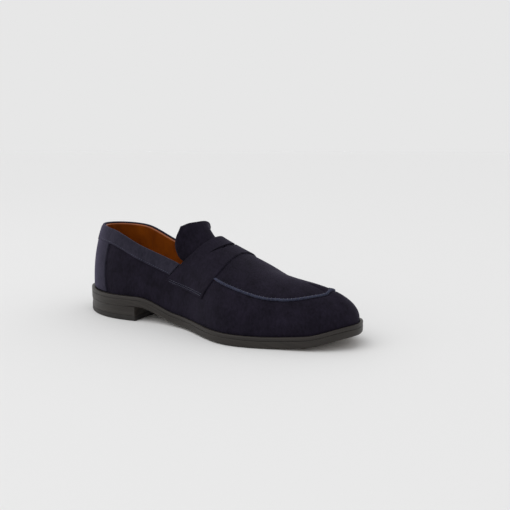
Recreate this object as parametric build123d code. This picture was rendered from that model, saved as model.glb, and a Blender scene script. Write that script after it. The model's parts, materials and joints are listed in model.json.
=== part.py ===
from build123d import *
import math
import os
import numpy as np

# Men's penny loafer, right shoe, EU 42-43. Millimetres. +X points to the toe, +Y to the inner
# (medial) side of the foot, +Z up. Origin: under the middle of the sole's box, on the ground.

# ---------------------------------------------------------------- driving dimensions

SOLE_OUTLINE = [                       # edge of the sole in plan, from the toe tip round the inner side
    (150, 3.4), (138, 28.2), (108, 38.2), (60, 54.3), (5, 44.8), (-45, 33.2), (-95, 34.5), (-134, 28.6),
    (-150, 2.8), (-134, -23.2), (-95, -38.4), (-45, -32.4), (0, -37.1), (45, -53.1), (95, -40.7), (134, -22.2)]
HEEL_HEIGHT = 14.0                     # heel under the outsole
SOLE_BOTTOM = [                        # height of the outsole's underside along the shoe
    (-150, HEEL_HEIGHT), (-64.5, HEEL_HEIGHT), (-20, 2.8), (30, 0.3), (75, 0), (115, 2.4), (150, 10.6)]
OUTSOLE_THICK = 6.6
WELT_THICK = 3.4
EDGE_HEIGHT = OUTSOLE_THICK + WELT_THICK + 0.1
WELT_REACH = [(-150, 4.5), (-90, 4.5), (-30, 2.3), (40, 2.7), (110, 2.8), (150, 3.2)]
HEEL_FRONT = -65.0                     # the heel's breast
TOP_PIECE_THICK = 5.2                  # rubber under the heel
LIFT_COUNT = 3
GAP = 0.06                             # glue line between stacked sole layers

RIDGE_FRONT, RIDGE_BACK = 100.5, -95.0  # the form's crest runs between these stations
RIDGE_HEIGHT = [
    (-150, 121.7), (-95, 119.3), (-40, 112.8), (-12, 94.4), (13, 79.5), (40, 66.4), (65, 55.9), (100, 50.1)]
RIDGE_SIDE_SHIFT = 2.7                 # how far the crest leans to the inner side at the toe
# Shape of each cross row, from the toe (0) to the heel (1): rise of the wall, its belly, and the crown.
WALL_RISE = {-1: [(0, .50), (.2, .41), (.4, .45), (.6, .43), (.8, .63), (1, .64)],
             1: [(0, .50), (.2, .53), (.4, .60), (.6, .45), (.8, .59), (1, .64)]}
WALL_BELLY = {-1: [(0, 1.6), (.2, 4.0), (.4, 7.6), (.6, 2.5), (.8, 3.7), (1, 0)],
              1: [(0, 1.6), (.2, 4.0), (.4, 3.1), (.6, 3.0), (.8, 7.7), (1, 0)]}
CROWN = {-1: [(0, .55), (.2, .69), (.4, .55), (.6, .47), (.8, .45), (1, .45)],
         1: [(0, .55), (.2, .62), (.4, .53), (.6, .47), (.8, .45), (1, .45)]}
TOPLINE_HEIGHT = [(-150, 90.1), (-100, 87.0), (-60, 73.0), (-15, 58.3)]
APRON_SEAM = {-1: [(0, .69), (.1, .61), (.2, .53), (.41, .50)], 1: [(0, .69), (.1, .60), (.2, .49), (.41, .49)]}
SEAM_REAR = 0.43                       # the apron runs this far back, to under the saddle
TOPLINE_FRONT = 0.56                   # the foot opening starts here
COLLAR_WIDTH = 14.3

# Layers of the upper, measured outward from the leather's outer face: (inner face, outer face).
LINING = (-3.7, -2.7)
STIFFENER = (-2.6, -1.6)
UPPER = (-1.5, 0.0)
OVERLAY = (0.25, 1.5)
TAB = (1.6, 2.7)

SADDLE_REAR = [(.2, .615), (.225, .610), (.425, .565), (.606, .525), (.888, .489), (1, .484)]
SADDLE_FRONT = [(.2, .455), (.256, .448), (.469, .415), (.65, .392), (.856, .374), (1, .362)]
SADDLE_LOW_REAR, SADDLE_LOW_FRONT = .225, .256
SLOT_HALF_LENGTH, SLOT_WIDTH, SLOT_BOW = 22.0, 4.0, 5.4
SLOT_CENTRE = (13.6, 1.5, 76.0)

# Tongue, outer face: rows from under the saddle to the free top, points from the middle to one edge.
TONGUE_OUTER = [
    [(17, 0, 72.3), (18, 11, 70.2), (20, 21.5, 63.5), (21.5, 29.5, 55.0)],
    [(9, 0, 76.9), (9.5, 10.5, 74.2), (8.5, 19.0, 67.2), (6.5, 25.0, 56.0)],
    [(1.5, 0, 82.9), (-0.5, 9.5, 80.0), (-4.5, 16.2, 71.5), (-9.5, 19.2, 57.0)],
    [(-5.3, 0, 91.2), (-7.3, 9.5, 89.0), (-13.8, 18.6, 80.0), (-21.8, 22.8, 65.0)],
    [(-8.8, 0, 96.0), (-10.3, 9.5, 95.0), (-15.3, 19.5, 90.2), (-22.3, 26.6, 80.2)],
    [(-10.3, 0, 98.0), (-11.3, 8.0, 97.8), (-14.3, 16.0, 96.8), (-18.3, 23.0, 93.9)]]
TONGUE_INNER = TONGUE_OUTER[:3] + [
    [(-5.3, 0, 91.2), (-7.0, 7.9, 89.2), (-12.0, 15.6, 80.5), (-18.0, 20.6, 66.0)],
    [(-8.8, 0, 96.0), (-9.5, 7.7, 95.0), (-12.5, 15.4, 89.3), (-17.0, 21.4, 79.5)],
    [(-10.3, 0, 98.0), (-10.6, 6.8, 97.2), (-11.4, 13.4, 94.6), (-13.6, 18.8, 90.0)]]
TONGUE_SIDE = 1.4                      # the tongue's middle stands this far to the inner side
TONGUE_THICK, TONGUE_LINING_THICK = 1.4, 0.9

STATIONS = 201
VOLUME_TOLERANCE = 0.03
PI = math.pi


# ---------------------------------------------------------------- curves

def profile(x, knots, flat=False):
    """Monotone cubic through (position, value) knots, level at both ends if flat."""
    xs, ys = np.array(knots, float).T
    x = np.asarray(x, float)
    h = np.diff(xs)
    d = np.diff(ys) / h
    m = np.zeros(len(xs))
    if not flat:
        m[0], m[-1] = d[0], d[-1]
    same = d[:-1] * d[1:] > 0
    w1 = 2 * h[1:] + h[:-1]
    w2 = h[1:] + 2 * h[:-1]
    before = np.where(same, d[:-1], 1.0)
    after = np.where(same, d[1:], 1.0)
    m[1:-1] = np.where(same, (w1 + w2) / (w1 / before + w2 / after), 0.0)
    i = np.clip(np.searchsorted(xs, x) - 1, 0, len(h) - 1)
    r = np.clip((x - xs[i]) / h[i], 0.0, 1.0)
    return (ys[i] * (2 * r**3 - 3 * r**2 + 1) + h[i] * m[i] * (r**3 - 2 * r**2 + r)
            + ys[i + 1] * (3 * r**2 - 2 * r**3) + h[i] * m[i + 1] * (r**3 - r**2))


def closed_curve(points, count):
    """Evenly spread samples of the smooth closed cubic through the points."""
    p = np.array(points, float)
    n = len(p)
    h = np.linalg.norm(np.roll(p, -1, 0) - p, axis=1)
    system = np.zeros((n, n))
    right = np.zeros((n, 2))
    for i in range(n):
        a, b = h[i - 1], h[i]
        j, k = (i - 1) % n, (i + 1) % n
        system[i, j] += 1 / a
        system[i, i] += 2 * (1 / a + 1 / b)
        system[i, k] += 1 / b
        right[i] = 3 * ((p[i] - p[j]) / a**2 + (p[k] - p[i]) / b**2)
    m = np.linalg.solve(system, right)
    start = np.concatenate([[0], np.cumsum(h)])
    c = np.linspace(0, start[-1], count, endpoint=False)
    i = np.clip(np.searchsorted(start, c, side="right") - 1, 0, n - 1)
    k = (i + 1) % n
    r = ((c - start[i]) / h[i])[:, None]
    step = h[i][:, None]
    return (p[i] * (2 * r**3 - 3 * r**2 + 1) + step * m[i] * (r**3 - 2 * r**2 + r)
            + p[k] * (3 * r**2 - 2 * r**3) + step * m[k] * (r**3 - r**2))


def sole_bottom(x):
    """Height of the outsole's underside."""
    return profile(x, SOLE_BOTTOM, flat=True)


RING = closed_curve(SOLE_OUTLINE, 2400)
TRAVEL = np.roll(RING, -1, 0) - np.roll(RING, 1, 0)
TRAVEL /= np.linalg.norm(TRAVEL, axis=1)[:, None]
OUTWARD = np.stack([TRAVEL[:, 1], -TRAVEL[:, 0]], 1)


def inset_ring(extra, reach_scale=1.0):
    """The sole's outline moved inward by the welt's reach and a constant."""
    reach = profile(RING[:, 0], WELT_REACH) * reach_scale + extra
    return RING - OUTWARD * reach[:, None]


# ---------------------------------------------------------------- the foot form

def form_table():
    """Four control points of each cross row: heel, outer side (w = -1), toe (0), inner side, heel (+1)."""
    foot_ring = inset_ring(0.0)
    heel = int(np.argmin(RING[:, 0]))
    s = np.linspace(0, 1, STATIONS)
    ease = np.sin(np.clip(s / 0.1, 0, 1) * np.clip((1 - s) / 0.1, 0, 1) * PI / 2) ** 2
    spread = np.concatenate([[0], np.cumsum((ease[1:] + ease[:-1]) / 2)])
    spread /= spread[-1]
    sides = []
    for side in (-1, 1):
        line = foot_ring[:heel + 1] if side > 0 else np.concatenate([foot_ring[heel:], foot_ring[:1]])[::-1]
        run = np.concatenate([[0], np.cumsum(np.linalg.norm(np.diff(line, axis=0), axis=1))])
        run /= run[-1]
        foot = np.stack([np.interp(s, run, line[:, 0]), np.interp(s, run, line[:, 1])], 1)
        foot = np.column_stack([foot, sole_bottom(foot[:, 0]) + EDGE_HEIGHT])
        x = RIDGE_FRONT + (RIDGE_BACK - RIDGE_FRONT) * spread
        slope = profile(x + .5, RIDGE_HEIGHT) - profile(x - .5, RIDGE_HEIGHT)
        slope[0] = slope[1]
        y = RIDGE_SIDE_SHIFT * (x + 150) / 300
        ridge = np.column_stack([x, y, profile(x, RIDGE_HEIGHT)])
        way = ridge - foot
        length = np.linalg.norm(way[:, :2], axis=1)
        d = way[:, :2] / length[:, None]
        belly = profile(s, WALL_BELLY[side], flat=True)
        rise = profile(s, WALL_RISE[side], flat=True)
        crown = profile(s, CROWN[side], flat=True) * length
        low = foot + np.column_stack([-d * belly[:, None], rise * way[:, 2]])
        high = ridge - np.column_stack([d * crown[:, None], slope * d[:, 0] * crown])
        sides.append(np.stack([foot, low, high, ridge], 1))
    return np.concatenate([sides[0][::-1], sides[1][1:-1]])


FORM = form_table()


def control_points(w):
    """Smoothly interpolated control points of the row at w; w wraps round at the heel."""
    n = len(FORM)
    c = (np.asarray(w, float) + 1) / 2 * n
    i = np.floor(c).astype(int)
    r = (c - i)[..., None, None]
    a, b, e, g = FORM[(i - 1) % n], FORM[i % n], FORM[(i + 1) % n], FORM[(i + 2) % n]
    return b + .5 * r * (e - a + r * (2 * a - 5 * b + 4 * e - g + r * (3 * (b - e) + g - a)))


def base(w, t):
    """Point of the form: w round the shoe, t up from the welt (0) to the crest (1)."""
    p = control_points(w)
    t = np.asarray(t, float)[..., None]
    u = 1 - t
    return (u**3 * p[..., 0, :] + 3 * u * u * t * p[..., 1, :]
            + 3 * u * t * t * p[..., 2, :] + t**3 * p[..., 3, :])


def skin(w, t, off=0.0):
    """The form's point moved outward by off."""
    w, t = np.broadcast_arrays(np.asarray(w, float), np.asarray(t, float))
    wide = np.where(np.abs(w) < 0.004, np.where(w < 0, -0.004, 0.004), w)
    high = np.minimum(t, .997)
    e = 2e-3
    along = base(wide + e, high) - base(wide - e, high)
    up = base(wide, high + e) - base(wide, high - e)
    n = np.cross(along, up)
    n /= np.linalg.norm(n, axis=-1)[..., None]
    return base(w, t) + n * np.asarray(off, float)[..., None]


def seam_t(w):
    """Height parameter of the apron's seam."""
    a = np.abs(w)
    return np.where(np.asarray(w) < 0, profile(a, APRON_SEAM[-1], flat=True), profile(a, APRON_SEAM[1], flat=True))


def height_t(w, height):
    """Height parameter at which each row reaches the given height profile."""
    t = np.linspace(0.02, 0.9, 221)
    found = []
    for one in np.atleast_1d(w):
        row = base(np.full(len(t), one), t)
        over = row[:, 2] - height(row[:, 0])
        i = max(int(np.argmax(over > 0)), 1)
        found.append(t[i - 1] + (t[i] - t[i - 1]) * over[i - 1] / (over[i - 1] - over[i]))
    return np.array(found)


def topline(x):
    """Height of the foot opening's edge."""
    return profile(x, TOPLINE_HEIGHT)


TOP_W = np.linspace(-1, 1, 401)
_open = np.sign(TOP_W) * np.maximum(np.abs(TOP_W), TOPLINE_FRONT)
_open[200] = TOPLINE_FRONT
_blend = np.clip((np.abs(TOP_W) - .37) / (TOPLINE_FRONT - .37), 0, 1)
_blend = _blend * _blend * (3 - 2 * _blend)
TOP_T = (1 - _blend) * seam_t(TOP_W) + _blend * height_t(_open, topline)


def top_t(w):
    """Height parameter of the wall's top edge: the apron's seam, then the foot opening."""
    wrapped = (np.asarray(w, float) + 1) % 2 - 1
    return np.interp(wrapped, TOP_W, TOP_T)


W_TABLE, T_TABLE = np.meshgrid(np.linspace(-.46, .46, 461), np.linspace(.2, .997, 120), indexing="ij")
LIFT_TABLES = {}


def lifted(x, y, off):
    """Points of the form's upper side above plan points, moved outward by off."""
    if off not in LIFT_TABLES:
        low = skin(W_TABLE, T_TABLE, off)
        LIFT_TABLES[off] = (low.reshape(-1, 3), (skin(W_TABLE, T_TABLE, off + 1) - low).reshape(-1, 3))
    points, normals = LIFT_TABLES[off]
    flat = np.stack([np.ravel(x), np.ravel(y)], 1)
    z = np.empty(len(flat))
    for k, q in enumerate(flat):
        j = int(np.argmin(((points[:, :2] - q) ** 2).sum(1)))
        z[k] = points[j, 2] - (normals[j, :2] @ (q - points[j, :2])) / normals[j, 2]
    return np.column_stack([flat, z]).reshape(*np.shape(x), 3)


# ---------------------------------------------------------------- solids

def grid_area(points):
    """Area of the two triangles in each cell of a grid."""
    a, b, c, d = points[:-1, :-1], points[1:, :-1], points[1:, 1:], points[:-1, 1:]
    first = np.linalg.norm(np.cross(b - a, c - a), axis=2)
    second = np.linalg.norm(np.cross(c - a, d - a), axis=2)
    return (first.sum() + second.sum()) / 2


def spline_face(points):
    """Smooth face through the rows of a grid of points."""
    steps = [float(a) for a in np.linspace(0, 1, points.shape[1])]
    rows = [Wire([Edge.make_spline([Vector(*[float(c) for c in p]) for p in row], parameters=steps)])
            for row in points]
    return Shell.make_loft(rows).faces()[0]


def between(inner, outer):
    """Closed solid between two facing grids of points."""
    top, bottom = spline_face(outer), spline_face(inner)
    sides = []
    for edge in top.edges():
        partner = min(bottom.edges(), key=lambda other: ((other @ 0.5) - (edge @ 0.5)).length)
        sides.append(Face.make_surface_from_curves(edge, partner))
    solid = Solid(Shell([top, bottom, *sides]))
    if solid.volume < 0:
        solid = solid.fix()
    thick = np.linalg.norm(outer - inner, axis=2).mean()
    true_volume = thick * (grid_area(inner) + grid_area(outer)) / 2
    if abs(solid.volume / true_volume - 1) > VOLUME_TOLERANCE:
        print("volume", round(solid.volume), "expected about", round(true_volume))
    return solid


def panel(grid, layer):
    """Leather panel over the form: grid(off) gives its points at that offset."""
    return between(grid(layer[0]), grid(layer[1]))


def round_panel(w_start, w_end, low, high, layer, rows=61, columns=9):
    """Panel that runs round the shoe between two height functions of w."""
    w = np.linspace(w_start, w_end, rows)[:, None]
    q = np.linspace(0, 1, columns)[None, :]
    bottom_t, upper_t = low(w), high(w)
    t = bottom_t + (upper_t - bottom_t) * q
    return panel(lambda off: skin(np.broadcast_to(w, t.shape), t, off), layer)


def plan_face(ring, count=44):
    """Face inside a closed plan line."""
    step = np.linalg.norm(np.roll(ring, -1, 0) - ring, axis=1)
    run = np.concatenate([[0], np.cumsum(step)])
    closed = np.concatenate([ring, ring[:1]])
    c = np.linspace(0, run[-1], count, endpoint=False)
    points = [(float(np.interp(a, run, closed[:, 0])), float(np.interp(a, run, closed[:, 1]))) for a in c]
    return make_face(Spline(*points, periodic=True))


def side_band(low, high, x_start=-160.0, x_end=160.0, count=33):
    """Block across the whole width, between two side-view height functions."""
    x = np.linspace(x_start, x_end, count)
    under = [(float(a), 0.0, float(b)) for a, b in zip(x, low(x))]
    over = [(float(a), 0.0, float(b)) for a, b in zip(x, high(x))]
    outline = [Spline(*under), Line(under[-1], over[-1]), Spline(*over[::-1]), Line(over[0], under[0])]
    return extrude(make_face(outline), amount=90, dir=(0, 1, 0), both=True)


def sole_layer(ring, low, high, x_start=-160.0, x_end=160.0):
    """Layer of the sole: a plan outline cut out of a side-view band."""
    block = Pos(0, 0, -5) * extrude(plan_face(ring), amount=60)
    return (block & side_band(low, high, x_start, x_end)).solid()


def above_bottom(rise):
    """Side-view height a constant above the outsole's underside."""
    return lambda x: sole_bottom(x) + rise


# ---------------------------------------------------------------- the sole unit

def outsole():
    """Leather outsole, full length."""
    return sole_layer(inset_ring(0, 0), above_bottom(0), above_bottom(OUTSOLE_THICK - GAP))


def welt():
    """Leather strip on the outsole, round the upper."""
    layer = sole_layer(inset_ring(0.1, 0.02), above_bottom(OUTSOLE_THICK), above_bottom(OUTSOLE_THICK + WELT_THICK))
    hole = Pos(0, 0, -5) * extrude(plan_face(inset_ring(-0.15), 60), amount=60)
    return (layer - hole).solid()


def heel_block(extra, low, high):
    """Flat layer of the heel, with a slightly hollow breast."""
    ring = inset_ring(extra, 0)
    body = Pos(0, 0, low) * extrude(plan_face(ring), amount=high - low)
    breast_depth, half_width = 2.0, 70.0
    cutter = Plane.XY.offset(low - 1) * make_face([
        ThreePointArc((HEEL_FRONT, -half_width), (HEEL_FRONT - breast_depth, 0), (HEEL_FRONT, half_width)),
        Polyline((HEEL_FRONT, half_width), (200, half_width), (200, -half_width), (HEEL_FRONT, -half_width))])
    return (body - extrude(cutter, amount=high - low + 2)).solid()


NAIL_RADIUS = 0.9
NAIL_SEATS = [(-128 + 14 * i, side * (20 - 1.5 * i)) for i in range(4) for side in (-1, 1)]


def nail_holes(clearance):
    """Cylinders at the heel nails' seats."""
    height = HEEL_HEIGHT - TOP_PIECE_THICK - 0.4
    base_z = TOP_PIECE_THICK + 0.2
    return [Pos(x, y, base_z - clearance) * Cylinder(NAIL_RADIUS + clearance, height + 2 * clearance,
            align=(Align.CENTER, Align.CENTER, Align.MIN)) for x, y in NAIL_SEATS]


def heel_parts():
    """Rubber top piece, stacked leather lifts and the nails through them."""
    parts = {"heel_top_piece": heel_block(0.2, 0, TOP_PIECE_THICK)}
    thick = (HEEL_HEIGHT - TOP_PIECE_THICK) / LIFT_COUNT
    for i in range(LIFT_COUNT):
        low = TOP_PIECE_THICK + i * thick
        lift = heel_block(1.1 - 0.2 * i, low + GAP, low + thick - GAP)
        for hole in nail_holes(0.05):
            lift = lift - hole
        parts[f"heel_lift_{i + 1}"] = lift.solid()
    parts["heel_nails"] = Compound(children=nail_holes(0.0))
    return parts


SHANK_BACK, SHANK_FRONT, SHANK_WIDTH, SHANK_THICK = -98.0, -12.0, 15.0, 1.2
CORK_THICK, BOARD_THICK, PAD_THICK, SOCK_THICK = 2.2, 1.8, 2.4, 1.1
INSIDE_UPPER = 4.3                     # from the upper's foot line to the insole's edge
BOARD_LOW = OUTSOLE_THICK + CORK_THICK
BOARD_HIGH = BOARD_LOW + BOARD_THICK


def shank_slot(extra):
    """Plan outline of the shank, rounded at both ends."""
    length = SHANK_FRONT - SHANK_BACK + 2 * extra
    centre = (SHANK_FRONT + SHANK_BACK) / 2
    return Pos(centre, 0, -5) * extrude(SlotOverall(length, SHANK_WIDTH + 2 * extra), amount=60)


def inner_sole_parts():
    """Cork filler, steel shank, insole board, heel pad and sock liner."""
    ring = inset_ring(INSIDE_UPPER)
    low = OUTSOLE_THICK
    shank_band = side_band(above_bottom(low + 0.4), above_bottom(low + 0.4 + SHANK_THICK))
    shank = (shank_slot(0) & shank_band).solid()
    cork = sole_layer(ring, above_bottom(low), above_bottom(low + CORK_THICK - GAP))
    board = sole_layer(ring, above_bottom(BOARD_LOW), above_bottom(BOARD_HIGH - GAP))
    pad_ring = inset_ring(INSIDE_UPPER + 4)
    pad = sole_layer(pad_ring, above_bottom(BOARD_HIGH), above_bottom(BOARD_HIGH + PAD_THICK - GAP), -160, -88)

    def sock_low(x):
        return sole_bottom(x) + BOARD_HIGH + profile(x, [(-88, PAD_THICK), (-74, 0)], flat=True)

    sock = sole_layer(inset_ring(INSIDE_UPPER + 1.0), sock_low, lambda x: sock_low(x) + SOCK_THICK)
    return {"cork_filler": (cork - shank_slot(0.2)).solid(), "steel_shank": shank, "insole_board": board,
            "heel_pad": pad, "sock_liner": sock}


# ---------------------------------------------------------------- the upper

def constant(value):
    """Height function that stays the same round the shoe."""
    return lambda w: np.full(np.shape(w), float(value))


def below_top(gap):
    """Height function a little under the wall's top edge."""
    return lambda w: top_t(w) - gap


def vamp_wall():
    """One wall of suede from the back seam round the toe, lasted down behind the welt."""
    w = np.linspace(-0.9992, 0.9992, 161)[:, None]
    upper_t = top_t(w) - 0.004
    q = np.linspace(0, 1, 13)[None, :]
    t = upper_t * q
    drop = np.array([WELT_THICK - 0.1, WELT_THICK / 2])[None, :]

    def grid(off):
        wall = skin(np.broadcast_to(w, t.shape), t, off)
        foot = skin(np.broadcast_to(w, (len(w), 2)), 0.0, off)
        foot[..., 2] -= drop
        return np.concatenate([foot, wall], 1)

    return panel(grid, UPPER)


def apron_grid(shrink, columns=17, rows=31, rear=SEAM_REAR):
    """Plan points of the apron: sides along the seam, front edge round the toe."""
    corner = 0.085
    v = np.linspace(0, 1, rows)[:, None]
    eta = np.linspace(-1, 1, columns)[None, :]

    def seam(w):
        return skin(w, seam_t(w), 0.0)[..., :2]

    a = rear + (corner - rear) * v[:, 0]
    left, right = seam(-a), seam(a)
    front = seam(corner * eta[0])
    middle = (left + right) / 2
    half = (right - left) / 2
    reach = np.linalg.norm(half, axis=1)[:, None]
    half = half * (1 - shrink / reach)
    line = middle[:, None, :] + half[:, None, :] * eta[..., None]
    bulge = front - (left[-1] + (right[-1] - left[-1]) * (eta[0][:, None] + 1) / 2)
    bulge[:, 0] -= shrink * (1 - eta[0] ** 2)
    return line + (v ** 1.6)[..., None] * bulge[None, :, :]


def apron_panel(layer, shrink, rear=SEAM_REAR):
    """Panel of the apron's shape at a layer."""
    plan = apron_grid(shrink, rear=rear)
    return panel(lambda off: lifted(plan[..., 0], plan[..., 1], off), layer)


def seam_ridge():
    """Raised edge where the apron and the wall are sewn together."""
    w = np.linspace(-.400, .400, 61)[:, None]
    half = 0.022
    q = np.linspace(-half, half, 7)[None, :]
    crown = 1.3 * (1 - (q / half) ** 2)
    t = seam_t(w) + q
    w = np.broadcast_to(w, t.shape)
    low = skin(w, t, 0.2)
    return between(low, skin(w, t, 0.35 + np.broadcast_to(crown, t.shape)))


def stitch_row(points, outward, length, width=0.7, height=0.4):
    """Short thread blocks along a line: points and outward directions are lists."""
    blocks = []
    for a, b, n in zip(points[:-1:2], points[1::2], outward[::2]):
        middle = (a + b) / 2
        direction = (b - a) / np.linalg.norm(b - a)
        plane = Plane(origin=Vector(*middle), x_dir=Vector(*direction), z_dir=Vector(*n))
        blocks.append(plane * Box(length, width, height, align=(Align.CENTER, Align.CENTER, Align.MIN)))
    return Compound(children=[block.solid() for block in blocks])


def surface_stitches(w, t, off, length):
    """Stitches lying on the form at an offset, along the line (w, t)."""
    points = skin(w, t, off)
    outward = skin(w, t, off + 1) - points
    return stitch_row(points, outward, length)


def apron_stitches():
    """Hand stitches over the apron's raised edge."""
    blocks = []
    for w in np.linspace(-.388, .388, 71):
        middle = skin(w, seam_t(w), 1.8)
        outward = skin(w, seam_t(w), 2.8) - middle
        across = skin(w, seam_t(w) + .02, 1.8) - middle
        across /= np.linalg.norm(across)
        plane = Plane(origin=Vector(*middle), x_dir=Vector(*across), z_dir=Vector(*outward))
        blocks.append((plane * Box(2.0, 0.7, 0.4)).solid())
    return Compound(children=blocks)


def saddle_grid(first, last, inset=0.0):
    """Grid over the instep from the outer side's lower edge across the crest to the inner side's."""
    q = np.linspace(-1, 1, 41)[:, None]
    k = np.linspace(first, last, 9)[None, :]
    low = SADDLE_LOW_REAR + (SADDLE_LOW_FRONT - SADDLE_LOW_REAR) * k + inset
    t = 1 - np.abs(q) * (1 - low)
    rear = profile(t, SADDLE_REAR, flat=True)
    front = profile(t, SADDLE_FRONT, flat=True)
    w = (rear + (front - rear) * k) * np.where(q < 0, -1, 1)
    return w, t


def saddle_strap():
    """Full saddle over the instep, with its slot cut through."""
    w, t = saddle_grid(0, 1)
    strap = panel(lambda off: skin(w, t, off), OVERLAY)
    tip = SLOT_HALF_LENGTH
    rear_arc = ThreePointArc((0, -tip), (SLOT_BOW - SLOT_WIDTH / 2, 0), (0, tip))
    front_arc = ThreePointArc((0, tip), (SLOT_BOW + SLOT_WIDTH / 2, 0), (0, -tip))
    plane = Plane(origin=SLOT_CENTRE, x_dir=(1, 0, -0.5), z_dir=(0.5, 0, 1))
    cutter = extrude(plane * make_face([rear_arc, front_arc]), amount=30, both=True)
    return (strap - cutter).solid()


def saddle_lining():
    """Leather under the saddle, filling the instep between the wall's edges and behind the apron."""
    q = np.linspace(-1, 1, 33)[:, None]
    side = np.where(q < 0, -1, 1)
    k = np.linspace(0, 1, 7)[None, :]
    t = np.ones((33, 7))
    w = np.ones((33, 7))
    for _ in range(3):
        rear = profile(t, SADDLE_REAR, flat=True) - 0.008
        w = rear + (0.437 - rear) * k
        edge = top_t(w * side) + 0.02
        t = 1 - np.abs(q) * (1 - edge)
    return panel(lambda off: skin(w * side, t, off), UPPER)


def saddle_stitches():
    """Two rows of stitches along each end of the saddle."""
    groups = []
    for side in (-1, 1):
        for inset in (0.035, 0.055):
            k = np.linspace(0.09, 0.94, 34)
            t = SADDLE_LOW_REAR + (SADDLE_LOW_FRONT - SADDLE_LOW_REAR) * k + inset
            rear = profile(t, SADDLE_REAR, flat=True)
            front = profile(t, SADDLE_FRONT, flat=True)
            w = (rear + (front - rear) * k) * side
            groups.extend(surface_stitches(w, t, OVERLAY[1] + 0.05, 1.3).children)
    return Compound(children=groups)


def collar_low(w):
    """Lower edge of the collar band."""
    flat = np.ravel(w)
    wrapped = (flat + 1) % 2 - 1
    t = height_t(wrapped, lambda x: topline(x) - COLLAR_WIDTH)
    return t.reshape(np.shape(w))


def collar_front(off):
    """Points of the collar band, whose front ends follow the saddle's rear edge."""
    v = np.linspace(-1, 1, 81)[:, None]
    q = np.linspace(0, 1, 7)[None, :]
    far = np.full((81, 7), 0.56)
    for _ in range(2):
        turn = 1 - np.abs(v) * (1 - far)
        w = np.where(v < 0, -turn, turn)
        low, high = collar_low(w), top_t(w) - 0.004
        t = low + (high - low) * q
        far = profile(t, SADDLE_REAR, flat=True) + 0.004
    return skin(w, t, off)


def collar_stitches():
    """Stitches along the collar band's lower edge."""
    v = np.concatenate([np.linspace(-.97, -.11, 76), np.linspace(.11, .97, 76)])
    turn = 1 - np.abs(v) * (1 - .612)
    w = np.where(v < 0, -turn, turn)
    t = collar_low(w) + 0.013
    return surface_stitches(w, t, OVERLAY[1] + 0.05, 1.4)


def backstay():
    """Strip over the back seam, from the welt to the collar band."""
    w = np.linspace(-.17, .17, 25)[:, None]
    q = np.linspace(0, 1, 9)[None, :]
    w = np.broadcast_to(w * (1 + 0.05 * (1 - q) ** 3) + 1, (25, 9))
    low = 0.012
    t = low + (collar_low(w) - 0.006 - low) * q
    return panel(lambda off: skin(w, t, off), OVERLAY)


def heel_tab():
    """Small tab sewn over the collar at the back seam."""
    w = np.broadcast_to(np.linspace(.965, 1.035, 9)[:, None], (9, 7))
    q = np.linspace(0, 1, 7)[None, :]
    low = collar_low(w) - 0.03
    t = low + (top_t(w) - 0.03 - low) * q
    return panel(lambda off: skin(w, t, off), TAB)


def net_grid(outer_half, inner_half, u, v):
    """Smooth surface through two half nets of points, sampled at u by v parameters from 0 to 1."""
    def along(points, s):
        n = len(points)
        padded = np.concatenate([2 * points[:1] - points[1:2], points, 2 * points[-1:] - points[-2:-1]])
        c = np.clip(s, 0, 1) * (n - 1)
        i = np.minimum(np.floor(c).astype(int), n - 2)
        r = (c - i)[:, None, None]
        a, b, e, g = padded[i], padded[i + 1], padded[i + 2], padded[i + 3]
        return b + .5 * r * (e - a + r * (2 * a - 5 * b + 4 * e - g + r * (3 * (b - e) + g - a)))

    outer_side = np.array(outer_half, float)[:, :0:-1] * np.array([1, -1, 1])
    full = np.concatenate([outer_side, np.array(inner_half, float)], 1)
    rows = along(full, u)
    return along(rows.transpose(1, 0, 2), v).transpose(1, 0, 2)


def tongue_points(depth, u_end=1.0, margin=0.0):
    """The tongue's face at a depth under its outer face, without a margin at its free edges."""
    u = np.linspace(0, u_end, 25)
    v = np.linspace(margin, 1 - margin, 31)
    p = net_grid(TONGUE_OUTER, TONGUE_INNER, u, v)
    n = np.cross(np.gradient(p, axis=0), np.gradient(p, axis=1))
    n /= np.linalg.norm(n, axis=2)[..., None]
    n *= np.sign(n[..., 2:3].mean())
    return p - n * depth + np.array([0, TONGUE_SIDE, 0])


def tongue():
    """Suede tongue, from under the saddle to its free top edge."""
    return between(tongue_points(TONGUE_THICK), tongue_points(0))


def tongue_lining():
    """Leather lining of the tongue."""
    low = TONGUE_THICK + 0.1
    return between(tongue_points(low + TONGUE_LINING_THICK, 0.985, 0.015), tongue_points(low, 0.985, 0.015))


LINING_FOOT = 0.045
HEEL_LINING_END = 0.80                 # the heel lining meets the quarter lining here


def lining_parts():
    """Leather linings of the toe, apron, quarters and heel."""
    foot = constant(LINING_FOOT)
    parts = {
        "toe_lining": round_panel(-.355, .355, foot, below_top(0.03), LINING, 81),
        "apron_lining": apron_panel(LINING, 1.6, rear=.35),
        "heel_lining": round_panel(HEEL_LINING_END + .002, 2 - HEEL_LINING_END - .002, foot, below_top(0.004), LINING)}
    for name, side in (("outer", -1), ("inner", 1)):
        parts[f"quarter_lining_{name}"] = round_panel(
            side * .36, side * HEEL_LINING_END, foot, below_top(0.004), LINING)
    return parts


def stiffener_parts():
    """Toe puff, heel counter and side reinforcements between the lining and the suede."""
    foot = constant(0.03)
    parts = {
        "toe_puff": round_panel(-.19, .19, foot, below_top(0.06), STIFFENER, 41),
        "heel_counter": round_panel(.79, 1.21, foot, lambda w: top_t(w) * .72, STIFFENER, 41)}
    for name, side in (("outer", -1), ("inner", 1)):
        parts[f"side_stiffener_{name}"] = round_panel(
            side * .30, side * .775, foot, lambda w: top_t(w) * .5, STIFFENER, 41)
    return parts


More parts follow.
